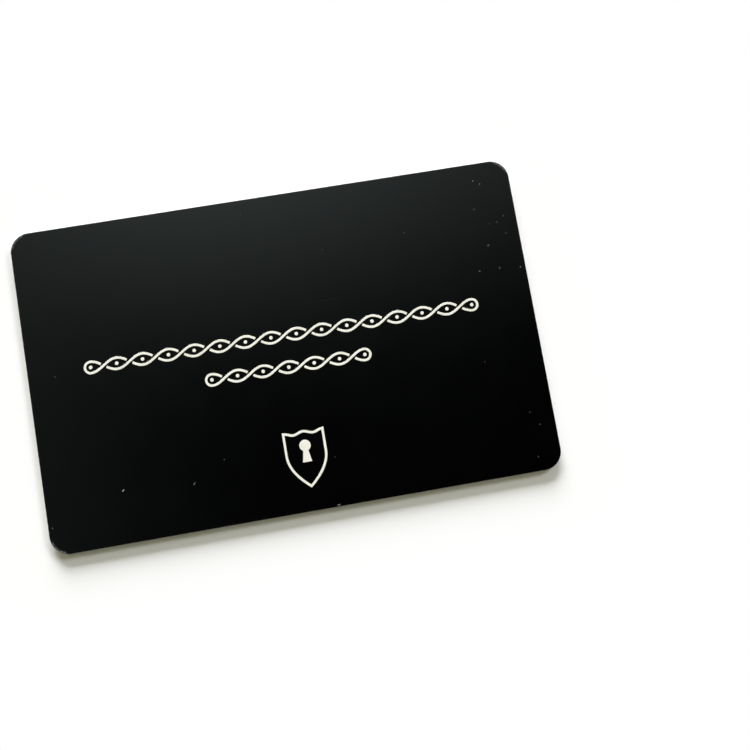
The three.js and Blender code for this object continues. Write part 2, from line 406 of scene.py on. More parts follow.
@dataclass(frozen=True)
class PunchStreaks(Effect):
    """The upright drag marks that a punch leaves on a cut edge."""

    label = "punch_streaks"
    outputs = ("height",)
    upright = (1.0, 1.0, 0.12)
    detail = 3.0
    streaks_per_mm: float

    def wire(self, bench: NodeBench, entry: Sockets) -> tuple[Socket, ...]:
        """Lays a noise that is drawn out along Z."""
        drawn = bench.vector("MULTIPLY", entry["place"], self.upright)
        return (bench.noise(drawn, entry["streaks_per_mm"], self.detail),)


@dataclass(frozen=True)
class Smudge(Effect):
    """Soft smears from handling, long in one direction."""

    label = "handling_smudge"
    drawn_out = (0.45, 1.0, 1.0)
    detail = 4.0
    peaks = Ramp(0.48, 0.75)
    smears_per_mm: float

    def wire(self, bench: NodeBench, entry: Sockets) -> tuple[Socket, ...]:
        """Lays a stretched noise and keeps its peaks."""
        place = bench.vector("MULTIPLY", entry["place"], self.drawn_out)
        return (bench.ramp(bench.noise(place, entry["smears_per_mm"], self.detail), *self.peaks),)


@dataclass(frozen=True)
class Fleck(Effect):
    """A pale fleck of lint or a hair scratch, in millimetres from the card's middle.

    Attributes:
        x: Its place along the card.
        y: Its place across the card.
        length: Its longer size.
        width: Its shorter size.
        turn_deg: How far its length turns from X.
        strength: How much of it shows, up to one.
    """

    label = "fleck_mark"
    fade = Ramp(0.45, 1.0, 1.0, 0.0)
    x: float
    y: float
    length: float
    width: float
    turn_deg: float
    strength: float

    def wire(self, bench: NodeBench, entry: Sockets) -> tuple[Socket, ...]:
        """Turns the point into the fleck's own frame and fades an ellipse there.

        Args:
            bench: The bench of the group's tree.
            entry: The group's inputs.

        Returns:
            The mask of the fleck.
        """
        offset = bench.vector("SUBTRACT", entry["place"], bench.joined(entry["x"], entry["y"]))
        turn = {"Vector": offset, "Angle": bench.math("RADIANS", entry["turn_deg"])}
        turned = bench.add("ShaderNodeVectorRotate", turn, rotation_type="Z_AXIS", invert=True)[0]
        flat = bench.vector("MULTIPLY", turned, (2.0, 2.0, 0.0))
        size = bench.joined(entry["length"], entry["width"], 1.0)
        reach = bench.length(bench.vector("DIVIDE", flat, size))
        return (bench.math("MULTIPLY", bench.ramp(reach, *self.fade), entry["strength"]),)


LINT = (
    Fleck(-30.0, -18.3, 0.62, 0.25, 42.0, 0.54),
    Fleck(-18.4, -19.2, 0.74, 0.28, 50.0, 0.17),
    Fleck(4.5, -26.7, 0.66, 0.28, 5.0, 0.32),
    Fleck(36.5, 24.0, 0.34, 0.26, 20.0, 0.32),
    Fleck(35.8, 19.0, 0.44, 0.34, 80.0, 0.08),
    Fleck(37.1, 12.4, 0.50, 0.32, 40.0, 0.16),
    Fleck(34.8, 8.2, 0.36, 0.24, 10.0, 0.26),
    Fleck(38.3, 8.2, 0.50, 0.34, 65.0, 0.12),
    Fleck(38.8, -17.0, 0.44, 0.40, 90.0, 0.04),
    Fleck(38.8, -24.6, 0.44, 0.38, 80.0, 0.06),
    Fleck(23.2, 16.9, 0.38, 0.28, 30.0, 0.08),
    Fleck(32.8, -7.3, 0.40, 0.30, 120.0, 0.05),
    Fleck(37.6, 23.3, 0.36, 0.26, 60.0, 0.20),
    Fleck(39.3, 16.2, 0.44, 0.32, 15.0, 0.07),
    Fleck(37.9, 16.1, 0.34, 0.26, 70.0, 0.05),
    Fleck(40.5, 14.0, 0.40, 0.30, 100.0, 0.07),
    Fleck(40.6, 17.1, 0.42, 0.34, 30.0, 0.07),
    Fleck(41.9, 7.8, 0.34, 0.26, 85.0, 0.22),
    Fleck(40.1, -19.3, 0.42, 0.32, 45.0, 0.07),
    Fleck(-42.1, -22.4, 0.38, 0.26, 100.0, 0.14),
    Fleck(7.8, 7.5, 8.00, 0.10, 1.5, 0.02),
)


class Surface(NamedTuple):
    """What a finish gives its shader, each as it varies over the surface."""

    colour: Socket
    roughness: Socket
    height: Socket


@dataclass(frozen=True, kw_only=True)
class Finish:
    """A surface finish: two tones that its grain mixes, a drifting roughness and a fine relief.

    Attributes:
        name: The material's name.
        colour: Its main colour, linear.
        tone: Its second colour, linear.
        shows: The levels between which the second colour comes out.
        follows: What of the grain brings out the second colour.
        roughness: Its middle roughness.
        drift: How far the roughness moves from there, between two levels of the grain.
        metallic: One for bare metal.
        ior: The index of refraction of its outer skin.
        grain: Its grain.
        relief: The height of the relief, in metres.
    """

    name: str
    colour: Colour
    tone: Colour
    shows: Ramp
    follows: GrainPart = GrainPart.PATCHES
    roughness: float
    drift: Ramp = Ramp(0.3, 0.7, -0.06, 0.06)
    metallic: float = 0.0
    ior: float = 1.5
    grain: Grain
    relief: float

    def material(self) -> bpy.types.Material:
        """Makes the material the first time, and finds it after that.

        Returns:
            The material.
        """
        found = bpy.data.materials.get(self.name)
        if found:
            return found
        material = bpy.data.materials.new(self.name)
        material.use_nodes = True
        bench = NodeBench(material.node_tree)
        place = bench.place_mm()
        surface = self.wire(bench, place, self.grain.put(bench, place))
        bump = {"Height": surface.height, "Distance": self.relief, "Strength": 1.0}
        inputs = material.node_tree.nodes["Principled BSDF"].inputs
        for name, value in (
            ("Base Color", surface.colour),
            ("Roughness", surface.roughness),
            ("Metallic", self.metallic),
            ("IOR", self.ior),
            ("Normal", bench.add("ShaderNodeBump", bump)["Normal"]),
        ):
            bench.feed(inputs[name], value)
        return material

    def wire(self, bench: NodeBench, place: Socket, grain: Sockets) -> Surface:
        """Lays the nodes that vary the finish over the surface.

        Args:
            bench: The material's bench.
            place: The point on the surface, in millimetres.
            grain: The outputs of its grain.

        Returns:
            What the shader takes.
        """
        colour = self.toned(bench, grain[self.follows.value])
        return Surface(colour, self.rough(bench, grain["patches"]), grain["height"])

    def toned(self, bench: NodeBench, mask: Socket) -> Socket:
        """Mixes the finish's two colours as a mask varies."""
        return bench.tint(bench.ramp(mask, *self.shows), rgba(self.colour), rgba(self.tone))

    def rough(self, bench: NodeBench, mask: Socket) -> Socket:
        """Moves the roughness about its middle as a mask varies."""
        low, high, less, more = self.drift
        return bench.ramp(mask, low, high, self.roughness + less, self.roughness + more)


@dataclass(frozen=True, kw_only=True)
class SatinFilm(Finish):
    """Matt film over a black sheet, seen as one satin black skin.

    Attributes:
        rim: Where its rim is worn and carries a painted highlight.
        worn_and_highlight_colour: The tone of the worn rim, lightened as a painted highlight of its rolled
            edge.
        lint: The flecks that lie on it.
        dust: The dust on it.
        dust_colour: The tone of dust and lint.
        dust_matt: How much rougher dust and lint are.
        smudge: The smears on it.
        smudge_gloss: How much smoother the smears are.
    """

    rim: RimWearAndHighlight
    # The worn rim's tone is partly real wear and partly a painted highlight.
    worn_and_highlight_colour: Colour = (0.17, 0.174, 0.178)
    lint: tuple[Fleck, ...] = ()
    dust: Dust = Dust(0.55, 0.02, 0.075, 0.12)
    dust_colour: Colour = (0.55, 0.55, 0.52)
    dust_matt: float = 0.4
    smudge: Smudge = Smudge(0.07)
    smudge_gloss: float = 0.012
    shows: Ramp = Ramp(0.35, 0.7)
    drift: Ramp = Ramp(0.3, 0.7, -0.006, 0.006)
    grain: Grain = Grain(4.0, 0.12)
    relief: float = 4e-6

    def wire(self, bench: NodeBench, place: Socket, grain: Sockets) -> Surface:
        """Lays the worn rim with its painted highlight, lint, dust and smudges over the plain skin.

        Args:
            bench: The material's bench.
            place: The point on the surface, in millimetres.
            grain: The outputs of its grain.

        Returns:
            What the shader takes.
        """
        skin = super().wire(bench, place, grain)
        marks = self.dust.put(bench, place)["mask"]
        for fleck in self.lint:
            marks = bench.math("MAXIMUM", marks, fleck.put(bench, place)["mask"])
        # The rim's tone is partly wear and partly a painted highlight of the rolled edge.
        worn_and_highlit = bench.tint(self.rim.put(bench, place)["mask"], skin.colour, rgba(self.worn_and_highlight_colour))
        colour = bench.tint(marks, worn_and_highlit, rgba(self.dust_colour))
        smudge = self.smudge.put(bench, place)["mask"]
        smeared = bench.math("MULTIPLY_ADD", smudge, -self.smudge_gloss, skin.roughness)
        return Surface(colour, bench.math("MULTIPLY_ADD", marks, self.dust_matt, smeared), skin.height)


@dataclass(frozen=True, kw_only=True)
class PunchedSheet(Finish):
    """A plastic sheet that shows only at the card's punched edge, in the two tones of the punch's streaks.

    Attributes:
        streaks: The punch's streaks.
        band: The lowest and highest point of the run of sheets it belongs to, in millimetres.
        drag_colour: The tone that the punch drags over the edge.
        drag_share: How much of that tone shows.
        drag_reach: How far the drag reaches in from the ends of the band, in millimetres.
    """

    streaks: PunchStreaks = PunchStreaks(5.0)
    band: tuple[float, float]
    drag_colour: Colour
    drag_share: float = 0.55
    drag_reach: float
    shows: Ramp = Ramp(0.3, 0.7)
    grain: Grain = Grain(9.0, 0.35)
    relief: float = 6e-6

    def wire(self, bench: NodeBench, place: Socket, grain: Sockets) -> Surface:
        """Lays the punch's streaks and the tone that it drags over the edge.

        Args:
            bench: The material's bench.
            place: The point on the surface, in millimetres.
            grain: The outputs of its grain.

        Returns:
            What the shader takes.
        """
        streaks = self.streaks.put(bench, place)["height"]
        low, high = self.band
        half = (high - low) / 2
        rise = bench.parted(place)[Axis.RISE.value]
        from_middle = bench.math("ABSOLUTE", bench.math("SUBTRACT", rise, low + half))
        reach = bench.math("MULTIPLY", streaks, self.drag_reach * 2)
        dragged = bench.ramp(from_middle, bench.math("SUBTRACT", half, reach), half, 0.0, self.drag_share)
        colour = bench.tint(dragged, self.toned(bench, streaks), rgba(self.drag_colour))
        return Surface(colour, self.rough(bench, grain["patches"]), streaks)


@dataclass(frozen=True, kw_only=True)
class ScreenInk(Finish):
    """Opaque screen ink, with a second tone where it lies thinner.

    Attributes:
        dust: The dust on it.
        dust_colour: The tone of the dust.
    """

    dust: Dust = Dust(1.6, 0.06, 0.12, 0.3)
    dust_colour: Colour = (0.4, 0.38, 0.33)
    shows: Ramp = Ramp(0.3, 0.62, 1.0, 0.0)
    drift: Ramp = Ramp(0.25, 0.75, -0.08, 0.08)
    grain: Grain = Grain(7.0, 0.6)
    relief: float = 2.5e-6

    def wire(self, bench: NodeBench, place: Socket, grain: Sockets) -> Surface:
        """Lays the thin patches, a little dust and the grain of the screen.

        Args:
            bench: The material's bench.
            place: The point on the surface, in millimetres.
            grain: The outputs of its grain.

        Returns:
            What the shader takes.
        """
        dust = self.dust.put(bench, place)["mask"]
        colour = bench.tint(dust, self.toned(bench, grain["patches"]), rgba(self.dust_colour))
        return Surface(colour, self.rough(bench, grain["height"]), grain["height"])


@dataclass(frozen=True, kw_only=True)
class InnerMetal(Finish):
    """Bare, plated or enamelled metal inside the card, with heat and handling stains as its second tone."""

    shows: Ramp = Ramp(0.42, 0.72)
    drift: Ramp = Ramp(0.3, 0.75, -0.05, 0.1)
    metallic: float = 1.0
    grain: Grain = Grain(20.0, 1.4)
    relief: float = 6e-7


@dataclass(frozen=True, kw_only=True)
class MouldedCompound(Finish):
    """Filled moulding compound or polished silicon, with fine bright grains as its second tone."""

    shows: Ramp = Ramp(0.52, 0.75)
    follows: GrainPart = GrainPart.HEIGHT
    grain: Grain = Grain(24.0, 2.0)
    relief: float = 1.5e-6


def link_object(name: str, data: bpy.types.ID) -> bpy.types.Object:
    """Makes an object and links it to the scene.

    Args:
        name: Its name.
        data: Its mesh, light or camera.

    Returns:
        The new object.
    """
    obj = bpy.data.objects.new(name, data)
    bpy.context.scene.collection.objects.link(obj)
    return obj


def new_piece(name: str, bm: bmesh.types.BMesh, finish: Finish) -> bpy.types.Object:
    """Turns a mesh under construction into a finished piece that rides on the card.

    Args:
        name: The piece's name.
        bm: The mesh, which is freed here.
        finish: Its finish.

    Returns:
        The new object.
    """
    bmesh.ops.recalc_face_normals(bm, faces=bm.faces[:])
    mesh = bpy.data.meshes.new(name)
    bm.to_mesh(mesh)
    bm.free()
    piece = link_object(name, mesh)
    mesh.materials.append(finish.material())
    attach(piece, BODY)
    LOG.info("%s: %d faces, %s", name, len(mesh.polygons), finish.name)
    return piece


def band_of_quads(
    bm: bmesh.types.BMesh, lower: Sequence[Any], upper: Sequence[Any], closed: bool, smooth: bool = True
) -> None:
    """Joins two rows of vertices with quads.

    Args:
        bm: The mesh.
        lower: The first row.
        upper: The second row, as long.
        closed: Whether the rows run round to their start.
        smooth: Whether the quads are shaded as one curve.
    """
    count = len(lower)
    for index in range(count if closed else count - 1):
        after = (index + 1) % count
        quad = bm.faces.new((lower[index], lower[after], upper[after], upper[index]))
        quad.smooth = smooth


def arc(centre: Vector, radius: float, start: float, sweep: float, steps: int) -> list[Vector]:
    """Draws an arc.

    Args:
        centre: Its centre.
        radius: Its radius.
        start: The angle where it starts, from +X towards +Y.
        sweep: The angle that it covers.
        steps: The steps that it takes.

    Returns:
        Its points, the two ends among them.
    """
    angles = (start + step / steps * sweep for step in range(steps + 1))
    return [centre + Vector((math.cos(angle), math.sin(angle))) * radius for angle in angles]


class Station(NamedTuple):
    """A point on the card's outline and the way out from there."""

    place: Vector
    outward: Vector


@dataclass(frozen=True)
class CardOutline:
    """The rounded rectangle that every sheet of the card is punched to.

    Attributes:
        half_length: Half the card's size along X.
        half_width: Half the card's size along Y.
        corner_radius: The radius of its corners.
        corner_steps: The steps round each corner.
        side_step: The longest step along a side.
    """

    half_length: float
    half_width: float
    corner_radius: float = 3.18 * MM
    corner_steps: int = 28
    side_step: float = 0.9 * MM

    @classmethod
    def of_node(cls, node: str) -> "CardOutline":
        """Reads the outline's size from a CAD node."""
        low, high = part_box(node)
        return cls((high.x - low.x) / 2, (high.y - low.y) / 2)

    def rim_wear_and_highlight(self) -> RimWearAndHighlight:
        """Gives the wear and painted highlight of this rim."""
        return RimWearAndHighlight(self.half_length / MM, self.half_width / MM, self.corner_radius / MM)

    def corner(self, across: int, back: int, turn: float) -> list[Station]:
        """Steps round one corner, counter-clockwise from above.

        Args:
            across: One for a corner at +X, minus one for -X.
            back: One for a corner at +Y, minus one for -Y.
            turn: The angle of the way out where it starts.

        Returns:
            The corner's stations.
        """
        middle = Vector((
            across * (self.half_length - self.corner_radius), back * (self.half_width - self.corner_radius)
        ))
        ways = arc(Vector((0.0, 0.0)), 1.0, turn, math.pi / 2, self.corner_steps)
        return [Station((middle + way * self.corner_radius).to_3d(), way.to_3d()) for way in ways]

    def stations(self) -> list[Station]:
        """Steps once round the outline.

        Returns:
            The stations of the four corners and the sides between them.
        """
        signs = ((1, 1), (-1, 1), (-1, -1), (1, -1))
        corners = [self.corner(*pair, index * math.pi / 2) for index, pair in enumerate(signs)]
        stations: list[Station] = []
        for corner, following in zip(corners, corners[1:] + corners[:1]):
            stations += corner
            start, outward = corner[-1]
            end = following[0].place
            steps = math.ceil((end - start).length / self.side_step)
            stations += [Station(start.lerp(end, step / steps), outward) for step in range(1, steps)]
        return stations


@dataclass(frozen=True, kw_only=True)
class OuterLayer:
    """A film or black sheet of the card's outer skin, lofted round the punched outline.

    Attributes:
        node: The CAD node that it stands for.
        piece: Its own name.
        slot: The record's material slot. Not used.
        face: Which outer face of the card it belongs to.
        roll: The radius that the punch rolls its outer edge to.
        roll_steps: The steps of that roll.
        roll_wear: How much the roll varies along the rim, as a share.
        wear_waves: The waves of that wear, as waves in a millimetre and their strength.
    """

    node: str
    piece: str
    slot: str
    face: Face
    roll: float
    roll_steps: int
    roll_wear: float = 0.0
    wear_waves: tuple[tuple[float, float], ...] = ((0.6, 1.0), (2.3, 0.5))

    def roll_at(self, place: Vector) -> float:
        """Gives the roll's radius at a point of the rim."""
        wave = sum(strength * noise.noise(place / MM * per_mm) for per_mm, strength in self.wear_waves)
        return self.roll * (1.0 + self.roll_wear * max(-1.0, min(1.0, wave)))

    def profile(self, low: float, high: float, roll: float) -> list[tuple[float, float]]:
        """Draws the layer's edge from its inner side to its outer side.

        Args:
            low: The layer's lowest Z.
            high: The layer's highest Z.
            roll: The roll's radius at this point of the rim.

        Returns:
            Insets from the outline and their heights.
        """
        inner, outer = (low, high) if self.face is Face.FRONT else (high, low)
        points = [(0.0, inner)]
        for step in range(self.roll_steps + 1):
            angle = step / self.roll_steps * math.pi / 2
            drop = self.face.value * roll * (1.0 - math.sin(angle))
            points.append((roll * (1.0 - math.cos(angle)), outer - drop))
        return points

    def build(self, outline: CardOutline, finish: Finish) -> None:
        """Lofts the layer and puts it in its node's place.

        Args:
            outline: The punched outline.
            finish: The layer's finish.
        """
        low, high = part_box(self.node)
        bm = bmesh.new()
        rows: list[list[bmesh.types.BMVert]] = []
        for place, outward in outline.stations():
            section = self.profile(low.z, high.z, self.roll_at(place))
            points = (place - outward * inset + Vector((0.0, 0.0, height)) for inset, height in section)
            rows.append([bm.verts.new(point) for point in points])
        rings = list(zip(*rows))
        for lower, upper in zip(rings, rings[1:]):
            band_of_quads(bm, lower, upper, closed=True)
        bm.faces.new(rings[0])
        bm.faces.new(rings[-1])
        piece = new_piece(self.piece, bm, finish)
        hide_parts(self.node)


@dataclass(frozen=True)
class Welded:
    """A modifier that welds a CAD node's facets and smooths them below an angle.

    Attributes:
        limit_deg: That angle.
        weld: How close the corners lie that it joins.
        facet_normals: The attribute that keeps the facets' own normals.
    """

    limit_deg: float
    weld: float = 1e-7
    facet_normals: str = "custom_normal"

    def tree(self) -> bpy.types.NodeTree:
        """Builds the modifier's node tree the first time, and finds it after that.

        Returns:
            The node tree.
        """
        name = f"weld_and_smooth_{self.limit_deg:g}"
        found = bpy.data.node_groups.get(name)
        if found:
            return found
        tree = bpy.data.node_groups.new(name, "GeometryNodeTree")
        for way in ("INPUT", "OUTPUT"):
            tree.interface.new_socket(name="Geometry", in_out=way, socket_type="NodeSocketGeometry")
        bench = NodeBench(tree)
        angle = bench.add("GeometryNodeInputMeshEdgeAngle")["Unsigned Angle"]
        limit = {0: angle, 1: math.radians(self.limit_deg)}
        soft = bench.add("FunctionNodeCompare", limit, operation="LESS_THAN")[0]
        geometry = bench.add("NodeGroupInput")[0]
        for kind, inputs, settings in (
            ("GeometryNodeRemoveAttribute", {"Name": self.facet_normals}, {}),
            ("GeometryNodeMergeByDistance", {"Distance": self.weld}, {}),
            ("GeometryNodeSetShadeSmooth", {}, {"domain": "FACE"}),
            ("GeometryNodeSetShadeSmooth", {"Shade Smooth": soft}, {"domain": "EDGE"}),
        ):
            geometry = bench.add(kind, {"Geometry": geometry, **inputs}, **settings)[0]
        bench.add("NodeGroupOutput", {0: geometry})
        return tree


def dress(node: str, finish: Finish, welded: Welded) -> None:
    """Gives a CAD node that stays its finish.

    Args:
        node: The node's name.
        finish: The finish.
        welded: The modifier that smooths its facets.
    """
    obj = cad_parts[node]
    obj.data.materials.clear()
    obj.data.materials.append(finish.material())
    obj.modifiers.new("weld_and_smooth", "NODES").node_group = welded.tree()
    LOG.info("%s: CAD node, %s", node, finish.name)


@dataclass
class Laminate:
    """The stack of sheets: films and black sheets outside, white core and inlay sheets inside.

    Attributes:
        outline: The outline that they are punched to.
        film_roll: The radius of the films' rolled rim.
        film_steps: The steps of that roll.
        film_wear: How much that roll varies, as a share.
        sheet_edge: The edge break of the black sheets.
        sheet_steps: The steps of that edge break.
        smooth_deg: The angle below which the white sheets' facets are smoothed.
    """

    outline: CardOutline
    film_roll: float = 0.040 * MM
    film_steps: int = 6
    film_wear: float = 0.16
    sheet_edge: float = 0.008 * MM
    sheet_steps: int = 2
    smooth_deg: float = 30.0

    def build(self) -> None:
        """Builds the outer layers and dresses the white sheets."""
        for face in Face:
            OuterLayer(
                node=f"{face.side}_overlay", piece=f"{face.side}_film", slot="clear_film", face=face,
                roll=self.film_roll, roll_steps=self.film_steps, roll_wear=self.film_wear,
            ).build(self.outline, self.film(face))
        for face in Face:
            OuterLayer(
                node=f"{face.side}_print_sheet", piece=f"{face.side}_black_sheet", slot="black_sheet",
                face=face, roll=self.sheet_edge, roll_steps=self.sheet_steps,
            ).build(self.outline, self.black_sheet())
        for node in ("core_sheet", "inlay_sheet"):
            dress(node, self.white_sheet(), Welded(self.smooth_deg))

    def film(self, face: Face) -> SatinFilm:
        """Gives the finish of one film. Only the front one has lint."""
        return SatinFilm(
            name=f"satin_film_{face.side}", colour=(0.0002, 0.0003, 0.0003), tone=(0.0004, 0.0005, 0.0005),
            roughness=0.20, rim=self.outline.rim_wear_and_highlight(), lint=LINT if face is Face.FRONT else (),
        )

    @staticmethod
    def black_sheet() -> PunchedSheet:
        """Gives the finish of the black sheets' edge."""
        low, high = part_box("back_print_sheet")[0].z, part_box("front_print_sheet")[1].z
        return PunchedSheet(
            name="black_sheet_edge", colour=(0.0052, 0.0052, 0.0052), tone=(0.0064, 0.0064, 0.0064),
            roughness=0.5, drag_colour=(0.02, 0.02, 0.02), drag_reach=0.04, band=(low / MM, high / MM),
        )

    @staticmethod
    def white_sheet() -> PunchedSheet:
        """Gives the finish of the white sheets' edge."""
        low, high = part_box("inlay_sheet")[0].z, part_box("core_sheet")[1].z
        return PunchedSheet(
            name="white_sheet_edge", colour=(0.688, 0.679, 0.649), tone=(0.848, 0.837, 0.80),
            roughness=0.55, drag_colour=(0.10, 0.10, 0.10), drag_reach=0.09, band=(low / MM, high / MM),
        )


@dataclass
class TagCircuit:
    """The wire coil and the chip module between the sheets.

    Attributes:
        wire: How wire facets are smoothed.
        block: How the module's facets are smoothed.
    """

    wire: Welded = Welded(65.0)
    block: Welded = Welded(30.0)

    def build(self) -> None:
        """Dresses each piece of the circuit."""
        copper = InnerMetal(
            name="enamelled_copper_wire", colour=(0.45, 0.13, 0.045), tone=(0.30, 0.075, 0.03),
            roughness=0.24, grain=Grain(14.0, 1.4),
        )
        gold = InnerMetal(
            name="gold_bond_wire", colour=(0.72, 0.40, 0.07), tone=(0.62, 0.31, 0.05),
            roughness=0.22, grain=Grain(60.0, 1.4),
        )
        plate = InnerMetal(
            name="silvered_lead_frame", colour=(0.62, 0.61, 0.58), tone=(0.48, 0.45, 0.38), roughness=0.30
        )
        silicon = MouldedCompound(
            name="polished_silicon", colour=(0.05, 0.055, 0.07), tone=(0.09, 0.085, 0.12),
            roughness=0.14, ior=3.4, grain=Grain(18.0, 2.0), relief=2e-7,
        )
        epoxy = MouldedCompound(
            name="black_moulding", colour=(0.012, 0.012, 0.012), tone=(0.04, 0.04, 0.038), roughness=0.55
        )
        for node, finish, welded in (
            ("antenna_coil", copper, self.wire),
            ("upper_bond_wire", gold, self.wire),
            ("lower_bond_wire", gold, self.wire),
            ("upper_terminal", plate, self.block),
            ("lower_terminal", plate, self.block),
            ("die_paddle", plate, self.block),
            ("jammer_chip", silicon, self.block),
            ("mould_cap", epoxy, self.block),
        ):
            dress(node, finish, welded)


@dataclass
class InkPen:
    """Lays the ink of one piece on the front film, as thin solids with drawn-in shoulders.

    Attributes:
        face: The height of the film's face.
        line: The width of its lines.
        lay: How thick the ink lies.
        shoulder: How far the ink's top edge draws in from its foot.
        bm: The piece's mesh.
    """

    face: float
    line: float = 0.40 * MM
    lay: float = 0.012 * MM
    shoulder: float = 0.015 * MM
    bm: bmesh.types.BMesh = field(default_factory=bmesh.new)

    def row(self, points: Sequence[Vector], height: float) -> list[bmesh.types.BMVert]:
        """Adds a vertex for each point, at a height over the face."""
        return [self.bm.verts.new((point.x, point.y, self.face + height)) for point in points]

    def patch(self, points: Sequence[Vector]) -> None:
        """Lays a filled patch of ink.

        Args:
            points: The patch's outline, counter-clockwise.
        """
        sides = self.sides(points, closed=True)
        foot = self.row(points, 0.0)
        top = self.row([point - side * self.shoulder for point, side in zip(points, sides)], self.lay)
        band_of_quads(self.bm, foot, top, closed=True)
        self.bm.faces.new(foot)
        self.bm.faces.new(top)

    def stroke(self, points: Sequence[Vector], closed: bool) -> None:
        """Lays a line of ink along some points.

        Args:
            points: The middle of the line.
            closed: Whether it runs round to its start.
        """
        sides = self.sides(points, closed)
        foot = self.line / 2
        top = foot - self.shoulder
        rows = [
            self.row([point + side * across for point, side in zip(points, sides)], height)
            for across, height in ((-foot, 0.0), (-top, self.lay), (top, self.lay), (foot, 0.0))
        ]
        for index, row in enumerate(rows):
            is_shoulder = index % 2 == 0
            band_of_quads(self.bm, row, rows[(index + 1) % len(rows)], closed, smooth=is_shoulder)
        if not closed:
            for end in (0, -1):
                self.bm.faces.new([row[end] for row in rows])

    @staticmethod
    def sides(points: Sequence[Vector], closed: bool) -> list[Vector]:
        """Gives the way to the right of a line at each point, longer at a corner so that the width stays.

        Args:
            points: The line.
            closed: Whether it runs round to its start.

        Returns:
            One vector for each point.
        """
        count = len(points)
        ways = [(points[(index + 1) % count] - point).normalized() for index, point in enumerate(points)]
        if not closed:
            ways[-1] = ways[-2]
        sides = []
        for index, leaving in enumerate(ways):
            arriving = ways[index - 1] if closed or index else leaving
            along = arriving + leaving
            sides.append(Vector((along.y, -along.x)) / (1.0 + arriving.dot(leaving)))
        return sides


@dataclass(frozen=True)
class TwistedBand:
    """A row of two strands that twist round each other, with a dot in each eye.

    Attributes:
        name: The piece's name.
        height: Where the row's middle lies across the card.
        crossings: How often its strands cross.
        eye: The length of one eye.
        eye_steps: The steps along it.
        swing: How far the strands swing from the row's middle.
        end_steps: The steps round each end of the row.
        clear: The gap left on each side where a strand passes under.
        dot: The radius of the dot in each eye.
        dot_steps: The steps round it.
    """

    name: str
    height: float
    crossings: int
    eye: float = 4.32 * MM
    eye_steps: int = 48
    swing: float = 0.95 * MM
    end_steps: int = 16
    clear: float = 0.37 * MM
    dot: float = 0.30 * MM
    dot_steps: int = 32

    @property
    def start(self) -> Vector:
        """Gives the middle of the row's left end."""
        return Vector((-self.crossings * self.eye / 2, self.height))

    def draw(self, pen: InkPen) -> None:
        """Draws the strands, and a dot in each eye.

        Args:
            pen: The pen.
        """
        for run in self.runs():
            pen.stroke(run, closed=False)
        for index in range(self.crossings + 1):
            centre = self.start + Vector((index * self.eye, 0.0))
            pen.patch(arc(centre, self.dot, 0.0, 2 * math.pi, self.dot_steps)[:-1])

    def runs(self) -> list[list[Vector]]:
        """Follows the row's one closed line and cuts it where it passes under itself.

        Returns:
            The runs of points that show.
        """
        length = self.crossings * self.eye
        steps = self.crossings * self.eye_steps
        loop: list[tuple[Vector, bool]] = []
        for side in (1, -1):
            for step in range(steps + 1):
                along = length * (step / steps if side == 1 else 1 - step / steps)
                swing = side * self.swing * math.cos(math.pi * along / self.eye)
                loop.append((self.start + Vector((along, swing)), not self.passes_under(along, side)))
            end = self.start + Vector((length if side == 1 else 0.0, 0.0))
            first = math.copysign(1.0, swing)
            for step in range(1, self.end_steps):
                angle = step / self.end_steps * math.pi
                bulge = Vector((side * math.sin(angle), first * math.cos(angle))) * self.swing
                loop.append((end + bulge, True))
        hidden = next(index for index, (_, shows) in enumerate(loop) if not shows)
        stretches = groupby(loop[hidden:] + loop[:hidden], key=lambda item: item[1])
        return [[point for point, _ in stretch] for shows, stretch in stretches if shows]

    def passes_under(self, along: float, side: int) -> bool:
        """Tells whether a strand is hidden by the other one at a place along the row.

        Args:
            along: How far along the row.
            side: One for the strand that starts above, minus one for the other.

        Returns:
            True within the gap at each crossing where this strand is the lower one.
        """
        crossing = round(along / self.eye - 0.5)
        near = abs(along - (crossing + 0.5) * self.eye) < self.clear
        return near and (crossing % 2 == 0) == (side == 1)


